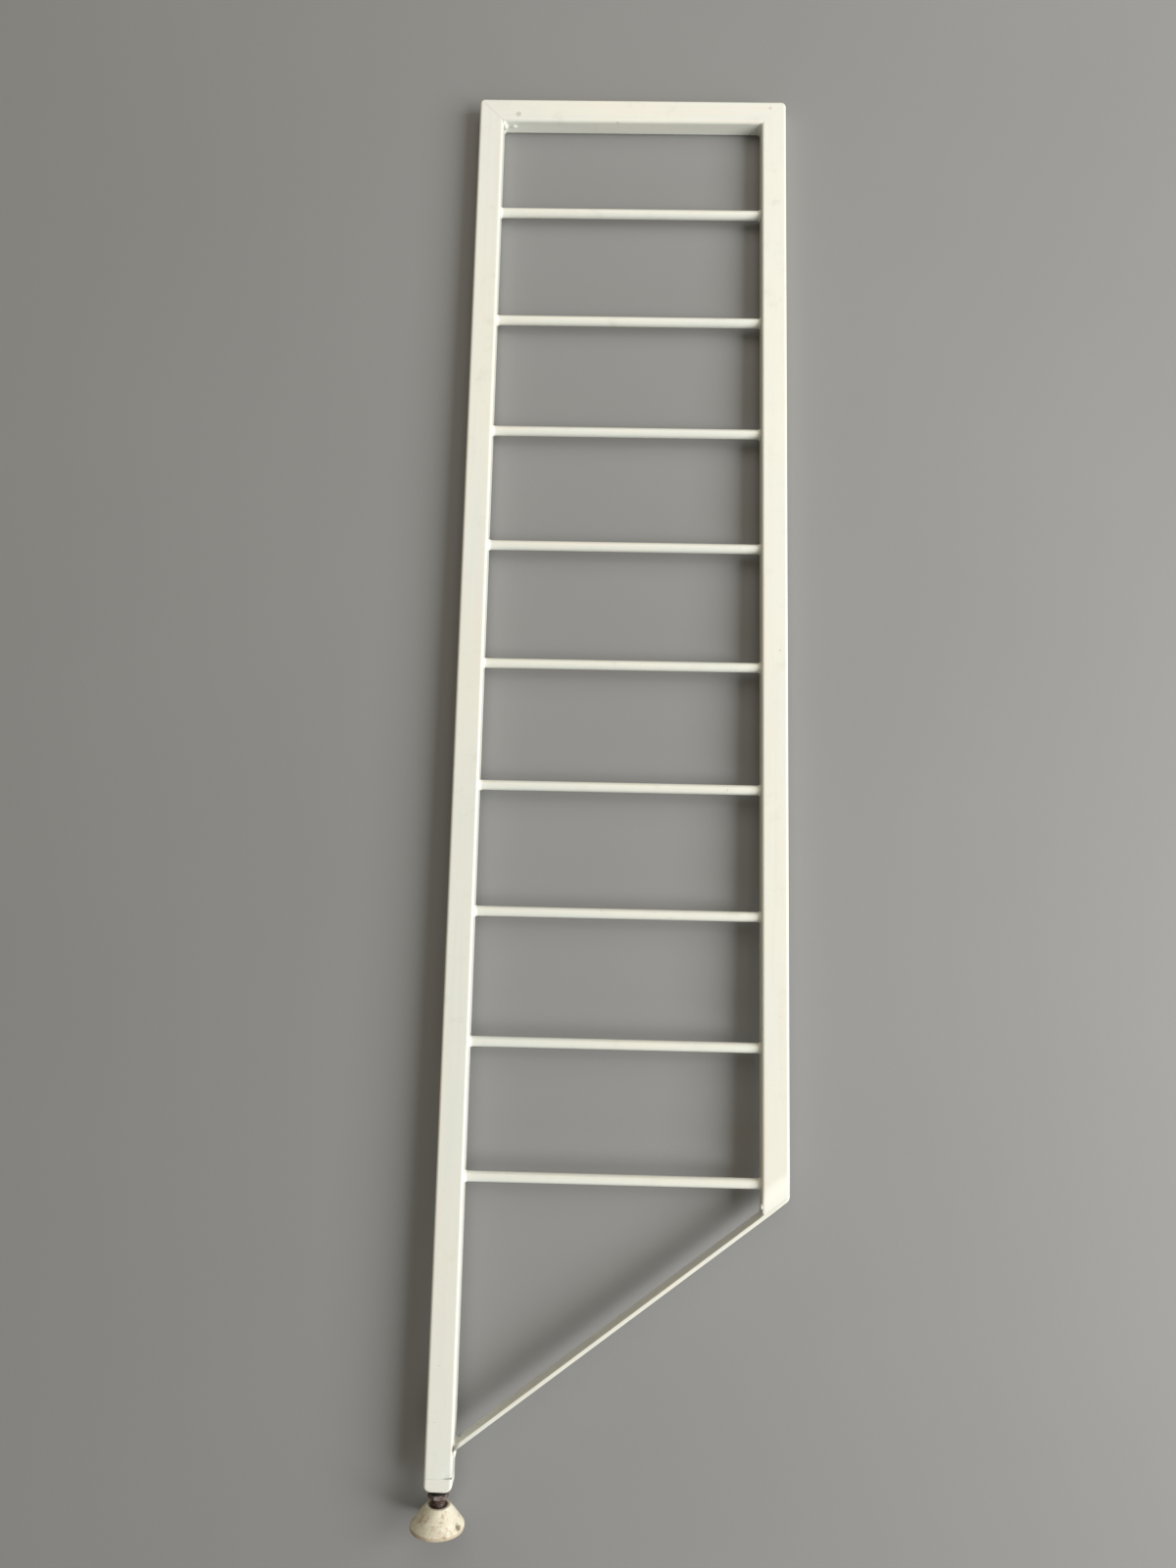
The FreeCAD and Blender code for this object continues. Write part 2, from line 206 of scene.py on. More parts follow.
def rounded_loop(width, depth, outer_radius, inner_radius, arc_steps=6, flat_steps=5):
    """A rectangle with rounded corners, as (across, up, facing) for each column.

    across runs from the outer side, 0, to the inner side, width; up is centred on 0; facing is
    the angle of the outward normal. Sizes may be columns of numbers, one per row. Each corner
    is a quarter circle, and each side is split evenly with a support point near each end."""
    width, depth, outer, inner = np.broadcast_arrays(
        *[np.asarray(v, float).reshape(-1, 1) for v in (width, depth, outer_radius, inner_radius)]
    )
    quarter = np.linspace(0, math.pi / 2, arc_steps + 1).reshape(1, -1)
    sides = np.concatenate([[0.04], np.linspace(0.15, 0.85, flat_steps), [0.96]]).reshape(1, -1)
    half = depth / 2
    corners = [
        (outer, -half + outer, outer, math.pi),
        (width - inner, -half + inner, inner, 1.5 * math.pi),
        (width - inner, half - inner, inner, 0.0),
        (outer, half - outer, outer, 0.5 * math.pi),
    ]
    arcs = []
    for centre_across, centre_up, radius, start in corners:
        facing = start + quarter + 0 * radius
        across = centre_across + radius * np.cos(facing)
        up = centre_up + radius * np.sin(facing)
        arcs.append((across, up, facing))
    columns = []
    for arc, after in zip(arcs, arcs[1:] + arcs[:1]):
        side = [arc[i][:, -1:] + (after[i][:, :1] - arc[i][:, -1:]) * sides for i in (0, 1)]
        columns.append(arc)
        columns.append((*side, arc[2][:, -1:] + 0 * sides))
    return tuple(np.concatenate([c[i] for c in columns], axis=1) for i in range(3))


def mitred_arm(across, start, length, corner_radius):
    """Rows of (across, along) that take a tube's profile from its start to a 45 degree mitre.

    Points further across than the corner radius run straight to the mitre plane, where along
    is the length less across. The others turn 45 degrees round the corner's centre."""
    end_zone, before_turn, zone_rows, straight_rows = 6 * MM, 0.4, 14, 46
    zone_start = length - np.maximum(across, corner_radius) - end_zone
    share = np.linspace(0, 1, straight_rows).reshape(-1, 1)
    straight = start + (zone_start - start) * share
    share = np.linspace(0, 1, zone_rows + 1)[1:].reshape(-1, 1)
    angle = np.clip((share - before_turn) / (1 - before_turn), 0, 1) * math.pi / 4
    lever = corner_radius - across
    turned_across = corner_radius - lever * np.cos(angle)
    before = zone_start + end_zone * np.minimum(share / before_turn, 1)
    turned_along = before + lever * np.sin(angle)
    turns = across < corner_radius
    zone_across = np.where(turns, turned_across, across + 0 * share)
    zone_along = np.where(turns, turned_along, zone_start + end_zone * share)
    return np.vstack([across + 0 * straight, zone_across]), np.vstack([straight, zone_along])


def tube_profiles():
    """The tube's outer profile and its bore's, with the bore's moved in by the wall."""
    outer = rounded_loop(TUBE_WIDTH, TUBE_DEPTH, EDGE_RADIUS, EDGE_RADIUS)
    hollow = TUBE_WIDTH - 2 * WALL, TUBE_DEPTH - 2 * WALL
    across, up, facing = rounded_loop(*hollow, BORE_EDGE_RADIUS, BORE_EDGE_RADIUS)
    return outer, (across + WALL, up, facing)


def edge_wear(facing):
    """1 on the rounded edges, where the normal is halfway between two faces, and 0 on faces."""
    return np.abs(np.sin(2 * facing))


def tube_rows(profile, start, length, corner_radius, both_ends=False):
    """(across, up, along) grids of one skin of a tube; both_ends mitres the near end too, as
    the far half's mirror image."""
    across, up, _ = profile
    if both_ends:
        half_across, half_along = mitred_arm(across, length / 2 + 0 * across, length, corner_radius)
        across = np.vstack([half_across[:0:-1], half_across])
        along = np.vstack([length - half_along[:0:-1], half_along])
    else:
        across, along = mitred_arm(across, start(across), length, corner_radius)
    return across, up + 0 * across, along


def tube_grid(start, length, both_ends=False, groove=None):
    """A hollow tube as one ring of rows: its outside from near end to far, then its bore back.

    groove(across) is how far the outside's first row is pulled in, as at a seam; its wear is
    up to 2, which the enamel shows as packed dirt."""
    outer, bore = tube_profiles()
    across, up, along = tube_rows(outer, start, length, CORNER_RADIUS, both_ends)
    wear = np.broadcast_to(edge_wear(outer[2]), across.shape)
    if groove is not None:
        depth = groove(outer[0])
        first = along[:1] + SEAM_HALF_WIDTH
        wear = np.vstack([2 * depth / SEAM_DEPTH, wear])
        across = np.vstack([across[:1] - depth * np.cos(outer[2]), across[:1], across[1:]])
        up = np.vstack([up[:1] - depth * np.sin(outer[2]), up[:1], up[1:]])
        along = np.vstack([along[:1], first, along[1:]])
    inside = tube_rows(bore, start, length, 0.0, both_ends)
    joined = [np.vstack([a, b[::-1]]) for a, b in zip((across, up, along), inside)]
    return joined, np.vstack([wear, np.zeros(inside[0].shape)])


def seam_groove(across):
    """Depth of the hairline between post and plug: nothing on the outer side, full inside."""
    return SEAM_DEPTH * smooth_step(0.38 * TUBE_WIDTH, 0.9 * TUBE_WIDTH, across)


def seam_line(across):
    """The seam climbs a little towards the inner side, through an ease."""
    return SEAM_CLIMB * smooth_step(0.3 * TUBE_WIDTH, TUBE_WIDTH, across)


def make_long_post(finish):
    """The tube's outline carried up from the plug's seam to the top corner's mitre."""
    (across, up, along), wear = tube_grid(seam_line, TOP - SEAM, groove=seam_groove)
    grid = np.stack([LEFT + across, SEAM + along, MIDDLE_Z + up], axis=-1)
    return skin("long_post_tube", grid, finish, "frame", ["long_post"], True, wear)


def make_short_post(finish):
    """The tube's outline carried up to its mitre from an end raked to lie on the brace: the
    start falls by the brace's slope for each step across."""
    (across, up, along), wear = tube_grid(
        lambda across: -across * BRACE_SLOPE, TOP - BRACE_TOP_AT_RIGHT
    )
    grid = np.stack([RIGHT - across, BRACE_TOP_AT_RIGHT + along, MIDDLE_Z + up], axis=-1)
    return skin("short_post_tube", grid, finish, "frame", ["short_post"], True, wear)


def make_top_rail(finish):
    """The tube's outline carried from mitre to mitre, one half the mirror image of the other."""
    (across, up, along), wear = tube_grid(None, RIGHT - LEFT, both_ends=True)
    grid = np.stack([LEFT + along, TOP - across, MIDDLE_Z + up], axis=-1)
    return skin("top_rail_tube", grid, finish, "frame", ["top_rail"], True, wear)


def make_rung(node, index, finish):
    """A round bar whose radius flares to a small uneven weld at each end: the flare is the
    square of the distance still to go to the post. Rows are close together near the posts,
    and the weld creases carry painted shade, a little more at the short post, in its shadow."""
    low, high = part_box(node)
    centre_y = (low.y + high.y) / 2
    length = high.x - low.x
    near = np.concatenate([[-BITE], np.linspace(0, 3 * MM, 10), np.linspace(4, 20, 5) * MM])
    middle = np.linspace(30 * MM, length - 30 * MM, 24)
    far = length - near[::-1]
    along = np.concatenate([near, middle, far]).reshape(-1, 1)
    turn = whole_turn(40)
    radius = RUNG_RADIUS + 0 * (along + turn)
    draw = np.random.default_rng(40 + index)
    for distance in (along, length - along):
        reach = draw.uniform(1.7, 2.7) * MM
        uneven = 1 + 0.35 * ripple(int(draw.integers(1000)), 2 * np.cos(turn), 2 * np.sin(turn))
        to_go = np.clip(1 - np.maximum(distance, 0) / (reach * uneven), 0, 1)
        radius = radius + draw.uniform(0.9, 1.3) * MM * uneven * to_go**2
    x = low.x + along + 0 * turn
    y = centre_y + radius * np.cos(turn)
    z = MIDDLE_Z + radius * np.sin(turn)
    grid = np.stack([x, y, z], axis=-1)
    # Painted shade: wear peaks in each weld's crease, which the enamel darkens there, and the end
    # at the short post, in that post's shadow, gets 1.15 times as much.
    short_post_shadow = np.where(along > length / 2, 1.15, 1.0)
    end_wear_and_shade = np.clip((radius - RUNG_RADIUS) / MM, 0, 1) * short_post_shadow
    return skin(f"{node}_bar", grid, finish, "frame", [node], False, end_wear_and_shade)


def make_brace(finish):
    """Flat bar on edge as upright sections, one per place across the ladder, counted from the
    frame's right side: coarse as far as the short post, fine under it, finest at the corner.

    Its lower line slopes down to the long post and turns up at the right through an arc; its
    upper line slopes all the way. Under the short post the upper edges are square."""
    run = RIGHT - brace_low.x + BITE
    coarse = np.linspace(-run, -28 * MM, 40)
    fine = np.linspace(-27 * MM, -7 * MM, 24)
    finest = np.sin(np.linspace(0, math.pi / 2, 14)) * BRACE_CORNER_RADIUS
    across = np.concatenate([coarse, fine, finest - BRACE_CORNER_RADIUS])
    turned = across + BRACE_CORNER_RADIUS
    corner_y = BRACE_CORNER_RADIUS * math.cos(BRACE_ANGLE) / (math.sin(BRACE_ANGLE) + 1)
    arc_start = -corner_y * math.cos(BRACE_ANGLE)
    arc = corner_y - np.sqrt(np.maximum(BRACE_CORNER_RADIUS**2 - turned**2, 0))
    lower = np.where(across < arc_start, across * BRACE_SLOPE, arc)
    height = across * BRACE_SLOPE + BRACE_RISE - lower
    to_side = np.clip(across + EDGE_RADIUS, 0, EDGE_RADIUS)
    depth = TUBE_DEPTH - 2 * (EDGE_RADIUS - np.sqrt(EDGE_RADIUS**2 - to_side**2))
    under_post = smooth_step(-TUBE_WIDTH - 1.5 * MM, -TUBE_WIDTH + 1.0 * MM, across)
    lower_edge = BRACE_EDGE_RADIUS + 0.9 * MM * smooth_step(-14 * MM, -4 * MM, across)
    lower_edge = np.minimum(lower_edge, 0.8 * height)
    upper_edge = BRACE_EDGE_RADIUS * (1 - under_post) + 0.02 * MM
    rise, up, facing = rounded_loop(height, depth, lower_edge, upper_edge)
    y = brace_high.y - BRACE_RISE + lower.reshape(-1, 1) + rise
    grid = np.stack([RIGHT + across.reshape(-1, 1) + 0 * rise, y, MIDDLE_Z + up], axis=-1)
    wear = edge_wear(facing) * (1 - 0.6 * under_post.reshape(-1, 1))
    return skin("brace_bar", grid, finish, "frame", ["diagonal_brace"], False, wear)


def make_end_plug(finish):
    """Block that closes the post: straight sides, then an end whose height is the sum of two
    roundings, a wide one towards the sides and a tight one towards the faces; then its bore."""
    across, up, facing = rounded_loop(TUBE_WIDTH, TUBE_DEPTH, EDGE_RADIUS, EDGE_RADIUS)
    x, z = across - TUBE_WIDTH / 2, up
    heading = np.arctan2(z, x)
    chamfer = 0.3 * MM
    mouth = TAPPING_RADIUS + chamfer

    def end_height(x, z):
        over_x = np.clip(np.abs(x) - TUBE_WIDTH / 2 + PLUG_CORNER_RADIUS, 0, PLUG_CORNER_RADIUS)
        over_z = np.clip(np.abs(z) - (TUBE_DEPTH / 2 - EDGE_RADIUS), 0, EDGE_RADIUS)
        wide = PLUG_CORNER_RADIUS - np.sqrt(PLUG_CORNER_RADIUS**2 - over_x**2)
        return wide + EDGE_RADIUS - np.sqrt(EDGE_RADIUS**2 - over_z**2)

    share = (1 - np.cos(np.linspace(0, math.pi / 2, 14))).reshape(-1, 1)
    end_x = x + (mouth * np.cos(heading) - x) * share
    end_z = z + (mouth * np.sin(heading) - z) * share
    end_y = end_height(end_x, end_z)
    top = (SEAM - POST_END) + seam_line(across)
    groove = seam_groove(across)
    start_x, start_z = x - groove * np.cos(facing), z - groove * np.sin(facing)
    side_share = np.linspace(0, 1, 7)[:-1].reshape(-1, 1)
    side_top = top - SEAM_HALF_WIDTH
    side_y = side_top + (end_y[:1] - side_top) * side_share
    bore_share = np.linspace(0, 1, 5).reshape(-1, 1)
    bore = TAPPING_RADIUS + 0 * bore_share
    bore_start = end_y[-1:] + chamfer
    bore_y = bore_start + (top - bore_start) * bore_share
    px = np.vstack([start_x, x + 0 * side_share, end_x, bore * np.cos(heading)])
    pz = np.vstack([start_z, z + 0 * side_share, end_z, bore * np.sin(heading)])
    py = np.vstack([top, side_y, end_y, bore_y])
    grid = np.stack([POST_AXIS + px, POST_END + py, MIDDLE_Z + pz], axis=-1)
    rubbed_end = 4 * MM
    wear = np.clip(edge_wear(facing) + (py < rubbed_end), 0, 1)
    wear[0] = 2 * groove / SEAM_DEPTH
    return skin("plug_block", grid, finish, "frame", ["end_plug"], True, wear)


# ---------------------------------------------------------------- welds
def bead(name, corner, first_way, second_way, reach, span, seed, finish):
    """A weld in an inside corner: a hollow curve from one wall to the other, carried through
    the frame's depth, with its reach rippled and brought to nothing at both ends.

    The curve is a parabola from a point on one wall, pulled towards the corner, to the other;
    one more point, sunk into the corner, closes it."""
    pull, sunk = 0.3, -0.12
    along = np.linspace(0.01, 0.99, 40).reshape(-1, 1)
    ends = np.clip(np.sin(math.pi * along), 0, 1) ** 0.4
    size = reach * ends * (0.85 + 0.15 * ripple(seed, 14 * along, 9 * along))
    curve = np.linspace(0, 1, 12)
    pulled = pull * 2 * curve * (1 - curve)
    first = np.append((1 - curve) ** 2 + pulled, sunk).reshape(1, -1)
    second = np.append(curve**2 + pulled, sunk).reshape(1, -1)
    x = corner[0] + size * (first * first_way[0] + second * second_way[0])
    y = corner[1] + size * (first * first_way[1] + second * second_way[1])
    z = span[0] + (span[1] - span[0]) * along + 0 * x
    return skin(name, np.stack([x, y, z], axis=-1), finish, "frame", wear=WELD_WEAR)


def blob(name, centre, radii, seed, finish):
    """A lump of weld under the enamel: an ellipsoid with an uneven skin."""
    pole_gap = 0.06
    tilt = np.linspace(pole_gap, math.pi - pole_gap, 18).reshape(-1, 1)
    turn = whole_turn(28)
    unit = [np.sin(tilt) * np.cos(turn), np.sin(tilt) * np.sin(turn), np.cos(tilt) + 0 * turn]
    swell = 1 + 0.14 * ripple(seed, *[3 * u for u in unit])
    grid = np.stack([c + r * swell * u for c, r, u in zip(centre, radii, unit)], axis=-1)
    return skin(name, grid, finish, "frame", wear=WELD_WEAR)


def make_welds(finish):
    """The welds that show: fillets in the two inside corners at the top and where the brace
    lands, and lumps where a weld piles up or fills a post's rounded edge."""
    down, right, left, up_way = (0, -1), (1, 0), (-1, 0), (0, 1)
    brace_up = (math.cos(BRACE_ANGLE), math.sin(BRACE_ANGLE))
    brace_down = (-brace_up[0], -brace_up[1])
    span = MIDDLE_Z - WELD_HALF_SPAN, MIDDLE_Z + WELD_HALF_SPAN
    inside_top = TOP - TUBE_WIDTH
    brace_foot = brace_low.y
    brace_line = BRACE_TOP_AT_RIGHT - TUBE_WIDTH * BRACE_SLOPE
    top_left, top_right = (LEFT_INSIDE, inside_top), (RIGHT_INSIDE, inside_top)
    above, below = (LEFT_INSIDE, brace_foot + BRACE_RISE), (LEFT_INSIDE, brace_foot)
    beside = (RIGHT_INSIDE, brace_line)
    bead("weld_top_left", top_left, right, down, 4.2 * MM, span, 3, finish)
    bead("weld_top_right", top_right, left, down, 3.4 * MM, span, 4, finish)
    bead("weld_brace_above", above, up_way, brace_up, 4.6 * MM, span, 5, finish)
    bead("weld_brace_below", below, down, brace_up, 5.0 * MM, span, 6, finish)
    bead("weld_short_post", beside, up_way, brace_down, 2.6 * MM, span, 7, finish)
    blob(
        "weld_lump_top_left",
        (LEFT_INSIDE + 1.6 * MM, inside_top - 1.4 * MM, MIDDLE_Z + 2.4 * MM),
        (2.0 * MM, 2.2 * MM, 2.6 * MM), 8, finish,
    )
    blob(
        "weld_lump_rail",
        (LEFT_INSIDE + 8.5 * MM, inside_top, MIDDLE_Z + 0.6 * MM),
        (2.6 * MM, 1.1 * MM, 1.8 * MM), 9, finish,
    )
    blob(
        "weld_lump_short_post",
        (RIGHT_INSIDE, brace_line + 6 * MM, MIDDLE_Z + 5.2 * MM),
        (1.3 * MM, 2.4 * MM, 1.8 * MM), 10, finish,
    )
    blob(
        "weld_lump_brace_foot",
        (LEFT_INSIDE + 0.2 * MM, brace_foot - 0.4 * MM, MIDDLE_Z + 5.5 * MM),
        (1.8 * MM, 4.2 * MM, 1.6 * MM), 11, finish,
    )


# ---------------------------------------------------------------- the levelling foot
def rounded_path(corners, step):
    """(radius, along) of a turned outline as two columns: straight lines with parabolic
    corners, split into short steps. Each corner is (radius, along, how far back its rounding
    starts). Steps shorter than a hair are dropped."""
    spots = np.array([c[:2] for c in corners], float)
    before, after = np.roll(spots, 1, axis=0), np.roll(spots, -1, axis=0)
    bend = np.linspace(0, 1, 7).reshape(-1, 1)
    runs = []
    for spot, near, far, corner in zip(spots, before, after, corners):
        start = spot + (near - spot) / np.linalg.norm(near - spot) * corner[2]
        end = spot + (far - spot) / np.linalg.norm(far - spot) * corner[2]
        runs.append((1 - bend) ** 2 * start + 2 * bend * (1 - bend) * spot + bend**2 * end)
    line = np.vstack([*runs, runs[0][:1]])
    travel = np.concatenate([[0], np.cumsum(np.linalg.norm(np.diff(line, axis=0), axis=1))])
    stops = np.unique(np.concatenate([travel[:-1], np.arange(0, travel[-1], step)]))
    hair = 0.02 * MM
    stops = stops[np.concatenate([[True], np.diff(stops) > hair])]
    return tuple(np.interp(stops, travel, line[:, i]).reshape(-1, 1) for i in (0, 1))


def whole_turn(columns):
    """Even angles once round, as a row."""
    return np.linspace(0, 2 * math.pi, columns, endpoint=False).reshape(1, -1)


def turned_grid(radius, along, turn, start):
    """Points round the bolt's line: turn is the angle from straight up towards the short post,
    and along is the distance from start towards the foot."""
    x = POST_AXIS + radius * np.sin(turn)
    z = MIDDLE_Z + radius * np.cos(turn)
    return np.stack([x, start - along + 0 * turn, z], axis=-1)


def hexagon_radius(flats, turn, turned=0.0):
    """Distance from the middle to a spanner hexagon's side, one flat of which faces turned."""
    sixth = math.pi / 3
    return flats / 2 / np.cos((turn - turned + sixth / 2) % sixth - sixth / 2)


def make_foot_cone(finish):
    """Turned outline with a faint swell on the flank, dented inwards by an uneven wave and by
    a few nicks in the rim, each a bell-shaped hollow."""
    rim_radius = (cone_high.x - cone_low.x) / 2
    length = cone_high.y - cone_low.y
    mouth, small_end, hole, pocket = 6.5 * MM, 8.7 * MM, 5.4 * MM, 11.0 * MM
    swell_radius, swell_place, rim_band = 14.3 * MM, 6.3 * MM, 2.5 * MM
    web_top, pocket_floor = 5.0 * MM, 8.0 * MM
    corners = [
        (mouth, 0, 0.5 * MM),
        (small_end, 0, 0.6 * MM),
        (swell_radius, swell_place, 3.0 * MM),
        (rim_radius, length - rim_band, 0.7 * MM),
        (rim_radius, length, 0.8 * MM),
        (pocket, length, 0.4 * MM),
        (pocket, pocket_floor, 0.4 * MM),
        (hole, pocket_floor, 0.3 * MM),
        (hole, web_top, 0.3 * MM),
        (mouth, web_top, 0.3 * MM),
    ]
    radius, along = rounded_path(corners, 0.7 * MM)
    turn = whole_turn(128)
    outside = smooth_step(pocket, pocket + 3 * MM, radius)
    flank = outside * smooth_step(1 * MM, 3 * MM, along)
    wave = ripple(21, 3 * np.cos(turn), 3 * np.sin(turn), 500 * along)
    dent = 0.12 * MM * (1 + wave) * flank
    nicks = [  # angle round the rim, distance from the small end, depth, spread
        (0.35, 12.5 * MM, 0.54 * MM, 1.2 * MM),
        (2.2, 13.6 * MM, 0.42 * MM, 1.0 * MM),
        (3.9, 14.2 * MM, 0.48 * MM, 1.4 * MM),
        (5.3, 13.2 * MM, 0.30 * MM, 0.8 * MM),
    ]
    for angle, place, depth, spread in nicks:
        apart = np.angle(np.exp(1j * (turn - angle))) * rim_radius
        gap = (along - place) ** 2 + apart**2
        dent = dent + depth * np.exp(-gap / spread**2) * outside
    grid = turned_grid(radius - dent, along, turn, cone_high.y)
    rim = smooth_step(length - 4 * MM, length - 1 * MM, along) * outside
    lip = smooth_step(8.2 * MM, 6.8 * MM, radius) * smooth_step(1.5 * MM, 0.5 * MM, along)
    wear = np.clip(rim + dent / MM + 0.8 * lip, 0, 1)
    return skin("cone_shell", grid, finish, "foot", ["foot_cone"], True, wear)


def make_foot_bolt(finish):
    """Right-hand thread as a radius that rises and falls once a pitch along the bolt and once a
    turn round it, then a hexagon head whose corners are cut by a cone."""
    turn = whole_turn(72)
    rows_per_pitch = 12
    rows = int(BOLT_LENGTH / THREAD_PITCH * rows_per_pitch)
    shank = np.linspace(0, BOLT_LENGTH, rows).reshape(-1, 1)
    phase = (shank / THREAD_PITCH + turn / (2 * math.pi)) % 1
    flat_root, flank = 0.14, 0.66  # shares of half a pitch; the rest is the flat crest
    ridge = np.clip((1 - np.abs(2 * phase - 1) - flat_root) / flank, 0, 1)
    worn = 0.05 * MM * (1 + ripple(31, 2 * np.cos(turn), 2 * np.sin(turn), 900 * shank))
    radius = THREAD_ROOT + (THREAD_CREST - THREAD_ROOT) * ridge - worn * ridge
    plain = smooth_step(BOLT_LENGTH - 5 * MM, BOLT_LENGTH - 3 * MM, shank)
    radius = radius * (1 - plain) + (THREAD_CREST - 0.15 * MM) * plain
    radius = np.minimum(radius, THREAD_ROOT + 0.1 * MM + shank)
    head_height = (bolt_high.y - bolt_low.y) - BOLT_LENGTH
    up_the_head = np.array([0, 0, 0.04, 0.2, 0.4, 0.6, 0.8, 0.9, 0.96, 1]).reshape(-1, 1)
    cut_by_cone = np.array([6.0, 8.1, 10, 10, 10, 10, 10, 9.5, 9.0, 8.2]).reshape(-1, 1) * MM
    head = np.minimum(hexagon_radius(HEAD_FLATS, turn), cut_by_cone)
    along = np.vstack([shank, BOLT_LENGTH + up_the_head * head_height])
    radius = np.vstack([radius, head])
    head_wear = 0.4
    wear = np.vstack([ridge * (1 - plain), head_wear + 0 * head])
    grid = turned_grid(radius, along, turn, bolt_high.y)
    stands_for = ["foot_bolt"]
    return skin("levelling_bolt", grid, finish, "foot_screw", stands_for, wear=wear)


def make_lock_nut(finish):
    """Thin hexagon nut: a turned outline with both ends chamfered, held within the hexagon."""
    height = nut_high.y - nut_low.y
    face, corner, chamfer, rounding = 6.4 * MM, 7.5 * MM, 0.5 * MM, 0.15 * MM
    corners = [
        (TAPPING_RADIUS, 0, rounding),
        (face, 0, rounding),
        (corner, chamfer, rounding),
        (corner, height - chamfer, rounding),
        (face, height, rounding),
        (TAPPING_RADIUS, height, rounding),
    ]
    radius, along = rounded_path(corners, 0.3 * MM)
    turn = whole_turn(132)
    rust_loss = 0.05 * MM
    radius = np.minimum(radius, hexagon_radius(NUT_FLATS, turn, NUT_TURNED) - rust_loss)
    grid = turned_grid(radius, along, turn, nut_high.y)
    wear = 0.95
    return skin("lock_nut_hexagon", grid, finish, "frame", ["lock_nut"], True, wear)


def make_lock_washer(finish):
    """Spring washer squeezed flat: a turned ring with worn edges and a narrow split, where the
    ring's outside is drawn in."""
    outer = (washer_high.x - washer_low.x) / 2
    thickness = washer_high.y - washer_low.y
    hole = 5.2 * MM
    edge = 0.35 * MM
    corners = [(hole, 0, edge), (outer, 0, edge), (outer, thickness, edge), (hole, thickness, edge)]
    radius, along = rounded_path(corners, 0.25 * MM)
    turn = whole_turn(120)
    split_at, split_width, split_depth = -1.9, 0.06, 1.2 * MM
    split = np.exp(-((np.angle(np.exp(1j * (turn - split_at))) / split_width) ** 2))
    radius = radius - split_depth * split * smooth_step(hole, outer, radius)
    grid = turned_grid(radius, along, turn, washer_high.y)
    return skin("lock_washer_ring", grid, finish, "frame", ["lock_washer"], True)


# ---------------------------------------------------------------- finishes
class Value:
    """One output of a material's node; arithmetic on it adds Math nodes to the same material."""

    def __init__(self, recipe, output):
        self.recipe = recipe
        self.output = output

    def combine(self, operation, first, second):
        return self.recipe.add("ShaderNodeMath", {"operation": operation}, {0: first, 1: second})

    def __add__(self, other):
        return self.combine("ADD", self, other)

    __radd__ = __add__

    def __sub__(self, other):
        return self.combine("SUBTRACT", self, other)

    def __rsub__(self, other):
        return self.combine("SUBTRACT", other, self)

    def __mul__(self, other):
        return self.combine("MULTIPLY", self, other)

    __rmul__ = __mul__


class Recipe:
    """A material being made: its nodes, and one method that adds any of them."""

    def __init__(self, name):
        self.material = bpy.data.materials.new(name)
        self.material.use_nodes = True
        self.tree = self.material.node_tree
        self.tree.nodes.clear()
        self.place = self.add("ShaderNodeTexCoord", output="Object")
        self.wear = self.add("ShaderNodeAttribute", {"attribute_name": "wear"}, output="Fac")

    def add(self, kind, settings=None, inputs=None, output=0):
        """A node of that kind: settings first, a ramp's stops among them, then its sockets."""
        node = self.tree.nodes.new(kind)
        for key, value in (settings or {}).items():
            if key == "stops":
                self.set_stops(node.color_ramp, value)
            else:
                setattr(node, key, value)
        for key, value in (inputs or {}).items():
            if isinstance(value, Value):
                self.tree.links.new(value.output, node.inputs[key])
            else:
                node.inputs[key].default_value = value
        return Value(self, node.outputs[output])

    @staticmethod
    def set_stops(ramp, stops):
        while len(ramp.elements) < len(stops):
            ramp.elements.new(1.0)
        for element, (position, colour) in zip(ramp.elements, stops):
            element.position = position
            element.color = (*colour, 1.0)

    def stretched(self, scale, shift=(0, 0, 0)):
        """Object coordinates moved and scaled differently each way."""
        return self.add(
            "ShaderNodeMapping", inputs={"Vector": self.place, "Scale": scale, "Location": shift}
        )

    def noise(self, scale, detail=3.0, roughness=0.55, where=None):
        return self.add(
            "ShaderNodeTexNoise",
            inputs={
                "Vector": where or self.place,
                "Scale": scale,
                "Detail": detail,
                "Roughness": roughness,
            },
            output="Fac",
        )

    def between(self, value, low, high):
        """0 where the value is under low, 1 where it is over high, smooth between."""
        return self.add(
            "ShaderNodeMapRange",
            {"interpolation_type": "SMOOTHSTEP", "clamp": True},
            {"Value": value, "From Min": low, "From Max": high},
        )

    def blend(self, share, under, over):
        """One colour laid over another."""
        return self.add(
            "ShaderNodeMix",
            {"data_type": "RGBA", "clamp_factor": True},
            {0: share, 6: self.colour(under), 7: self.colour(over)},
            output=2,
        )

    @staticmethod
    def colour(value):
        return value if isinstance(value, Value) else (*value, 1.0)

    def near(self, spot, radius, fray=0.5, scale=900.0):
        """1 at a spot and 0 beyond its radius, with a frayed outline."""
        gap = self.add(
            "ShaderNodeVectorMath",
            {"operation": "DISTANCE"},
            {0: self.place, 1: spot},
            output="Value",
        )
        frayed = gap * (1 / radius) + (self.noise(scale) - 0.5) * fray * 2
        return 1 - self.between(frayed, 0.35, 1.0)

    def finish(self, colour, roughness, height, bump_distance, **constants):
        """Joins everything to one shader and gives the material."""
        bump = self.add(
            "ShaderNodeBump", inputs={"Height": height, "Distance": bump_distance, "Strength": 1.0}
        )
        shader = self.add(
            "ShaderNodeBsdfPrincipled",
            inputs={
                "Base Color": colour,
                "Roughness": roughness,
                "Normal": bump,
                **{key.replace("_", " "): value for key, value in constants.items()},
            },
        )
        output = self.tree.nodes.new("ShaderNodeOutputMaterial")
        self.tree.links.new(shader.output, output.inputs["Surface"])
        return self.material


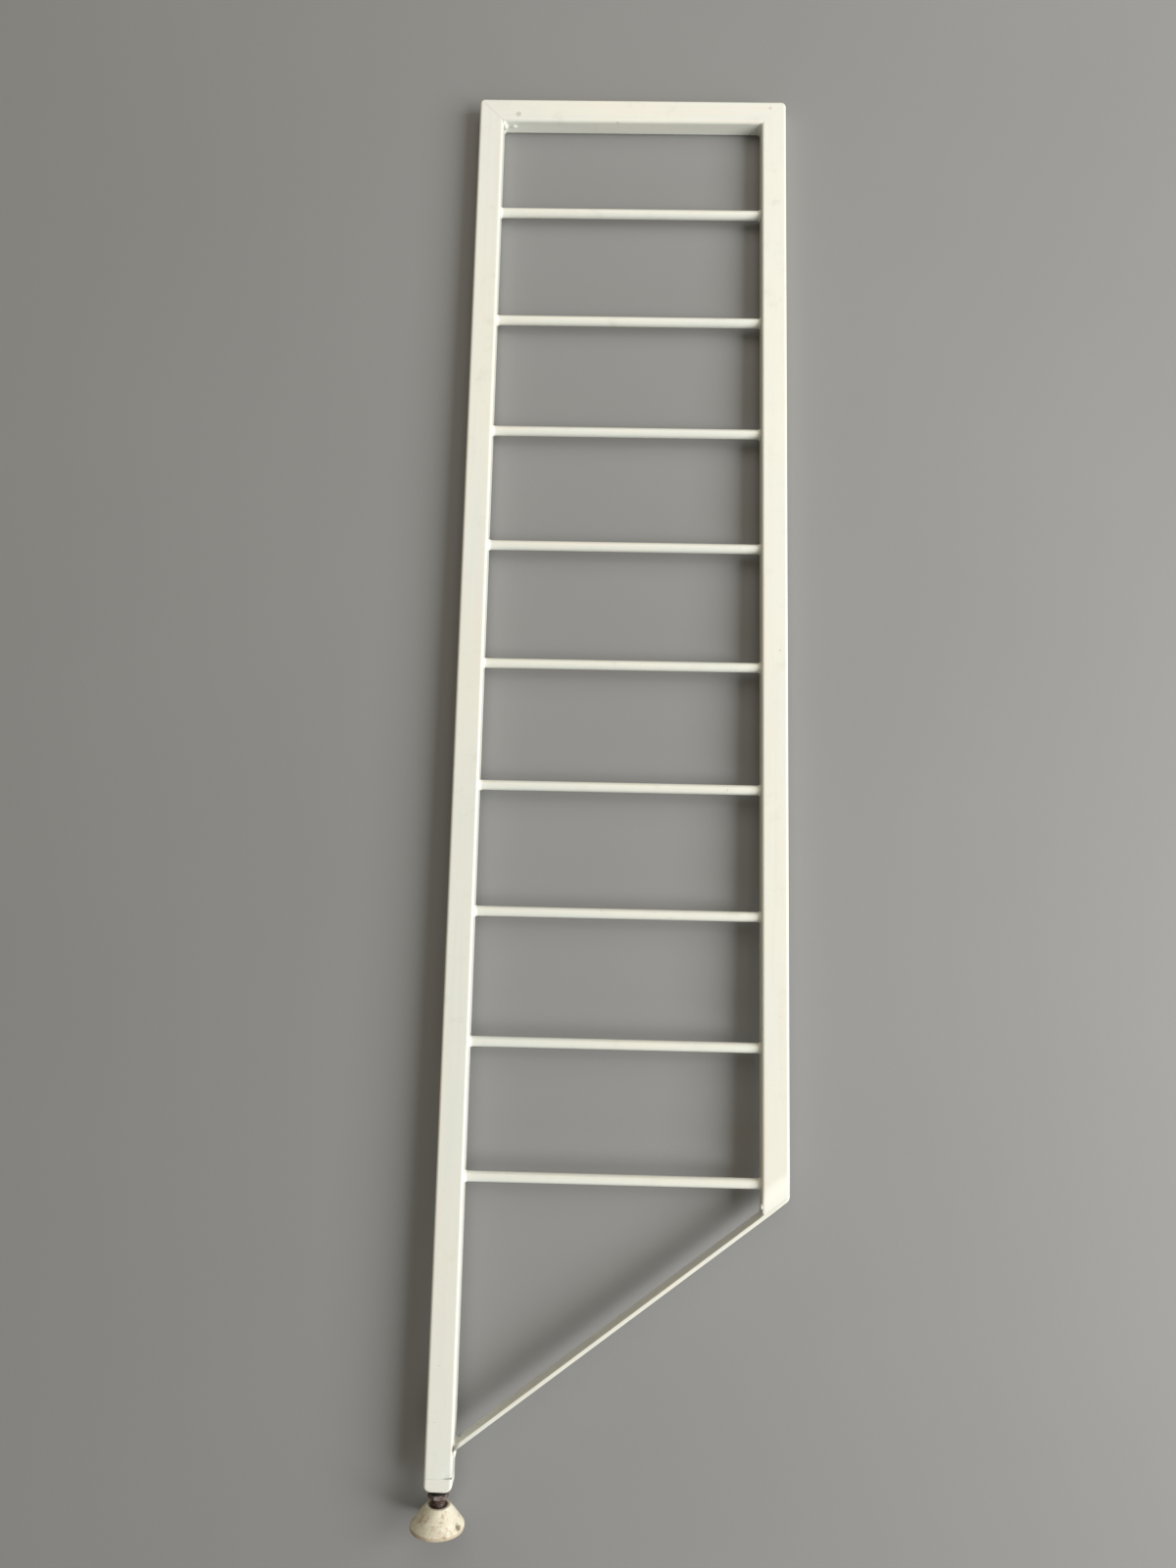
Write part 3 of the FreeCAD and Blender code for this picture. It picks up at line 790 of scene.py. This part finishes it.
def stoved_enamel(name, streak_scale, rub_scale):
    """Warm white enamel, sprayed and stoved: faint warm and cool clouds, streaks along the
    tube, small chips to the grey primer, fine rubs, packed dirt in the plug's seam, painted shade
    in the weld creases at the rung ends, and one scuff and one stain on the top rail."""
    r = Recipe(name)
    clouds = r.noise(9.0, 4.0)
    warm = r.between(clouds, 0.35, 0.7)
    colour = r.blend(warm, (0.735, 0.745, 0.68), (0.765, 0.755, 0.67))
    streaks = r.noise(1.0, 3.0, where=r.stretched(streak_scale))
    colour = r.blend(r.between(streaks, 0.50, 0.72) * 0.5, colour, (0.76, 0.70, 0.62))
    cool = r.noise(1.0, 3.0, where=r.stretched(streak_scale, (3, 1, 0)))
    colour = r.blend(r.between(cool, 0.5, 0.75) * 0.5, colour, (0.68, 0.72, 0.68))
    grime = r.noise(55.0, 6.0, 0.65)
    colour = r.blend(r.between(grime, 0.54, 0.78) * 0.3, colour, (0.55, 0.53, 0.45))
    rubs = r.noise(1.0, 2.0, where=r.stretched(rub_scale, (1, 7, 2)))
    rub_mask = r.between(rubs, 0.66, 0.72) * r.between(r.noise(22.0), 0.52, 0.66)
    colour = r.blend(rub_mask * 0.25, colour, (0.58, 0.56, 0.50))
    chip_seed = r.noise(330.0, 2.0) + r.wear * 0.03
    chips = r.between(chip_seed, 0.755, 0.775)
    colour = r.blend(chips * 0.6, colour, (0.38, 0.35, 0.29))
    # Near black where wear passes 1: packed dirt in the plug's seam, and painted shade in the weld
    # creases at the rung ends.
    packed_dirt_and_shade = r.between(r.wear + (r.noise(800.0) - 0.5) * 0.4, 1.0, 1.35)
    colour = r.blend(packed_dirt_and_shade, colour, (0.035, 0.03, 0.02))
    scuff = r.near((LEFT + 32.5 * MM, TOP - 14.0 * MM, FRONT_Z), 3.0 * MM)
    colour = r.blend(scuff * 0.55, colour, (0.36, 0.35, 0.31))
    stain = r.near((RIGHT - 13.0 * MM, TOP - 6.2 * MM, FRONT_Z), 2.0 * MM)
    colour = r.blend(stain * 0.45, colour, (0.45, 0.38, 0.44))
    peel = r.noise(620.0, 2.0)
    sag = r.noise(70.0, 2.0)
    height = peel * 0.35 + sag * 0.9 - chips * 0.8
    roughness = 0.34 + r.between(grime, 0.4, 0.8) * 0.16 + rub_mask * 0.15
    return r.finish(
        colour,
        roughness,
        height,
        0.12 * MM,
        Coat_Weight=0.25,
        Coat_Roughness=0.22,
        Specular_IOR_Level=0.5,
    )


def aged_plastic():
    """Cream plastic gone dull: tan stains in patches, a pinkish blush, grey haze and dark
    specks, brown dirt at the rim and in the dents, fine scratches, and one dark burn."""
    r = Recipe("aged_cream_plastic")
    mottle = r.noise(160.0, 5.0, 0.6)
    colour = r.blend(r.between(mottle, 0.35, 0.7), (0.70, 0.66, 0.53), (0.80, 0.77, 0.63))
    stains = r.noise(150.0, 8.0, 0.75, where=r.stretched((1, 1, 1), (0.3, 0.1, 0.2)))
    colour = r.blend(r.between(stains, 0.50, 0.66) * 0.7, colour, (0.38, 0.27, 0.16))
    blush = r.noise(60.0, 3.0, where=r.stretched((1, 1, 1), (0.7, 0.4, 0.1)))
    colour = r.blend(r.between(blush, 0.5, 0.7) * 0.3, colour, (0.66, 0.50, 0.40))
    dirt = r.between(r.wear + (r.noise(420.0, 5.0, 0.7) - 0.5) * 0.9, 0.35, 0.95)
    colour = r.blend(dirt * 0.6, colour, (0.30, 0.20, 0.11))
    haze = r.noise(95.0, 5.0, 0.65, where=r.stretched((1, 1, 1), (0.2, 0.9, 0.5)))
    colour = r.blend(r.between(haze, 0.45, 0.66) * 0.4, colour, (0.50, 0.45, 0.34))
    specks = r.between(r.noise(760.0, 5.0, 0.75), 0.565, 0.655) * r.between(mottle, 0.36, 0.58)
    colour = r.blend(specks * 0.6, colour, (0.28, 0.22, 0.15))
    burn_spot = (POST_AXIS + 16.0 * MM, cone_low.y + 5.0 * MM, MIDDLE_Z + 8.5 * MM)
    burn = r.near(burn_spot, 3.4 * MM, 0.45)
    colour = r.blend(burn * 0.8, colour, (0.10, 0.055, 0.02))
    scratches = r.noise(1.0, 2.0, where=r.stretched((1500, 250, 500)))
    height = r.noise(900.0, 4.0) * 0.5 + scratches * 0.4 - dirt * 0.5
    roughness = 0.5 + mottle * 0.2 + dirt * 0.1
    return r.finish(colour, roughness, height, 0.18 * MM, Specular_IOR_Level=0.4)


def brown_rust():
    """Steel under dark rust: brown scale with red and orange bloom, worn grey on the crests."""
    r = Recipe("brown_rust")
    scale = r.noise(700.0, 6.0, 0.7)
    colour = r.add(
        "ShaderNodeValToRGB",
        {
            "stops": [
                (0.25, (0.012, 0.006, 0.004)),
                (0.5, (0.045, 0.018, 0.010)),
                (0.68, (0.12, 0.045, 0.020)),
                (0.85, (0.22, 0.10, 0.045)),
            ]
        },
        {"Fac": scale},
    )
    rubbed = r.between(r.wear + (r.noise(260.0, 4.0) - 0.5) * 0.9, 0.8, 1.15)
    colour = r.blend(rubbed * 0.75, colour, (0.30, 0.275, 0.27))
    height = scale - rubbed * 0.4
    roughness = 0.85 - rubbed * 0.45
    metal = rubbed * 0.35
    return r.finish(
        colour, roughness, height, 0.25 * MM, Metallic=metal, Specular_IOR_Level=0.4
    )


def black_spring_steel():
    """Almost black steel, with faint brown bloom and a dull, grainy skin; the near-black is partly
    painted shade for the narrow gap between the plug and the nut.
    """
    r = Recipe("black_spring_steel")
    grain = r.noise(900.0, 4.0, 0.6)
    # Near black: partly the washer's own dark steel, partly painted shade of the gap under the
    # plug.
    colour = r.blend(r.between(grain, 0.5, 0.75), (0.006, 0.005, 0.005), (0.022, 0.014, 0.010))
    return r.finish(colour, 0.6 + grain * 0.2, grain, 0.06 * MM, Specular_IOR_Level=0.25)


# ---------------------------------------------------------------- the stage
def make_floor():
    """A plain floor, tipped a little so that it meets both the foot's rim and the back of the
    top rail, and wide enough that its edge is far off in low views."""
    r = Recipe("floor_paint")
    clouds = r.noise(3.0, 3.0)
    colour = r.blend(clouds, (0.238, 0.238, 0.236), (0.262, 0.262, 0.259))
    material = r.finish(colour, 0.62, r.noise(300.0, 3.0), 0.05 * MM, Specular_IOR_Level=0.3)
    rise = long_low.z - cad_low.z
    tilt = math.atan2(rise, (TOP - EDGE_RADIUS) - cad_low.y)
    half = 12.0
    gap = 0.05 * MM
    corners = [(-half, -half), (half, -half), (half, half), (-half, half)]
    mesh = bpy.data.meshes.new("floor")
    points = [(x, y, (y - cad_low.y) * math.tan(tilt) - gap) for x, y in corners]
    mesh.from_pydata(points, [], [(0, 1, 2, 3)])
    mesh.materials.append(material)
    floor = bpy.data.objects.new("floor", mesh)
    bpy.context.scene.collection.objects.link(floor)


def make_light(name, spot, aim, size, power, colour):
    """A soft rectangular light at a spot, turned to face a point."""
    lamp = bpy.data.lights.new(name, "AREA")
    lamp.shape = "RECTANGLE"
    lamp.size, lamp.size_y = size
    lamp.energy = power
    lamp.color = colour
    holder = bpy.data.objects.new(name, lamp)
    holder.location = spot
    holder.rotation_euler = (Vector(aim) - Vector(spot)).to_track_quat("-Z", "Y").to_euler()
    bpy.context.scene.collection.objects.link(holder)


def make_camera():
    """Held over the lower half of the ladder, looking down and a little up its length."""
    data = bpy.data.cameras.new("camera")
    data.sensor_width = 36.0
    data.lens = 24.3
    camera = bpy.data.objects.new("camera", data)
    camera.location = (-0.0067, -0.13864, 0.81762)
    tipped_up, leaned, twisted = 8.1008, 0.7483, 1.31035
    camera.rotation_euler = [math.radians(angle) for angle in (tipped_up, leaned, twisted)]
    bpy.context.scene.collection.objects.link(camera)
    bpy.context.scene.camera = camera


def make_room():
    """Dim warm light from all round; looked at directly, the room is a plain pale grey."""
    world = bpy.data.worlds.new("room")
    world.use_nodes = True
    nodes, links = world.node_tree.nodes, world.node_tree.links
    fill = nodes["Background"]
    fill.inputs["Color"].default_value = (1.0, 0.86, 0.60, 1.0)
    fill.inputs["Strength"].default_value = 0.22
    backdrop = nodes.new("ShaderNodeBackground")
    backdrop.inputs["Color"].default_value = (0.60, 0.60, 0.59, 1.0)
    seen = nodes.new("ShaderNodeLightPath")
    mix = nodes.new("ShaderNodeMixShader")
    links.new(seen.outputs["Is Camera Ray"], mix.inputs["Fac"])
    links.new(fill.outputs["Background"], mix.inputs[1])
    links.new(backdrop.outputs["Background"], mix.inputs[2])
    links.new(mix.outputs["Shader"], nodes["World Output"].inputs["Surface"])
    bpy.context.scene.world = world


def make_stage():
    """The floor, a big soft window on the short post's side, a weak blue sky beyond the foot,
    a weak warm ceiling beyond the top rail, the room and the camera."""
    make_floor()
    middle, upper = (0.0, 0.1, 0.0), (0.0, 0.3, 0.0)
    make_light("window", (2.3, -0.3, 1.6), middle, (2.6, 1.8), 122.0, (0.99, 0.995, 1.0))
    make_light("sky", (0.2, -2.6, 0.9), middle, (1.6, 0.8), 9.0, (0.62, 0.82, 1.0))
    make_light("ceiling", (0.1, 1.7, 2.0), upper, (2.0, 2.0), 18.0, (1.0, 0.97, 0.92))
    make_room()
    bpy.context.scene.view_settings.view_transform = "Standard"
    make_camera()


# ---------------------------------------------------------------- everything
enamel = stoved_enamel("enamel_along_the_ladder", (170, 6, 60), (900, 60, 300))
cross_enamel = stoved_enamel("enamel_across_the_ladder", (6, 170, 60), (60, 900, 300))
plastic = aged_plastic()
rust = brown_rust()
blackened = black_spring_steel()

make_long_post(enamel)
make_short_post(enamel)
make_top_rail(cross_enamel)
for index, node in enumerate(RUNGS):
    make_rung(node, index, cross_enamel)
make_brace(cross_enamel)
make_end_plug(enamel)
make_welds(enamel)
make_foot_cone(plastic)
make_foot_bolt(rust)
make_lock_nut(rust)
make_lock_washer(blackened)
make_stage()
